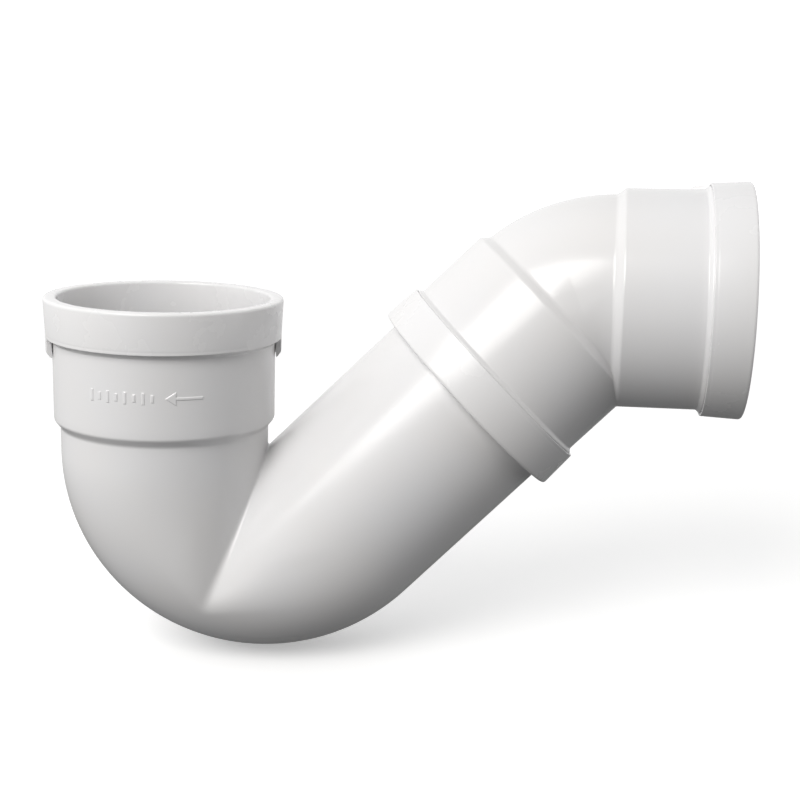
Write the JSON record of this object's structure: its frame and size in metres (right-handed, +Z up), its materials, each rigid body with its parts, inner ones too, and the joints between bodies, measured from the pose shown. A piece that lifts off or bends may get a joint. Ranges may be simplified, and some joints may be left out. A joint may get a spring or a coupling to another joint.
{
  "type": "p trap",
  "caption": "P trap for a 110 mm drain: a J bend with a ring-seal inlet socket, and a 45 degree elbow that slides and swivels on its rising leg.",
  "frame": {"origin": "centre of the inlet socket's mouth, level with the top face of its seal cap", "axes": "+Z up, out of the inlet socket; +X towards the outlet, in the plane of the J bend; +Y to the back"},
  "size_m": [0.3825, 0.1434, 0.2613],
  "materials": {
    "white_body": "glossy white PVC-U moulding",
    "white_cap": "glossy white PVC-U, the clip-on seal caps",
    "seal_rubber": "matte black lip seal rubber"
  },
  "bodies": {
    "trap": {"trap_bend": "white_body", "inlet_seal_cap": "white_cap", "inlet_seal_ring": "seal_rubber"},
    "joint_seal": {"joint_seal_ring": "seal_rubber"},
    "elbow": {"outlet_elbow": "white_body", "joint_seal_cap": "white_cap", "outlet_seal_cap": "white_cap", "outlet_seal_ring": "seal_rubber"}
  },
  "joints": [
    {"name": "elbow_slip", "type": "slide", "parent": "trap", "child": "joint_seal", "axis": [0.7071, 0, 0.7071], "range_m": [-0.003, 0.06]},
    {"name": "elbow_swivel", "type": "hinge", "parent": "joint_seal", "child": "elbow", "pos_m": [0.16213, 0, -0.05265], "axis": [0.7071, 0, 0.7071], "continuous": true}
  ]
}
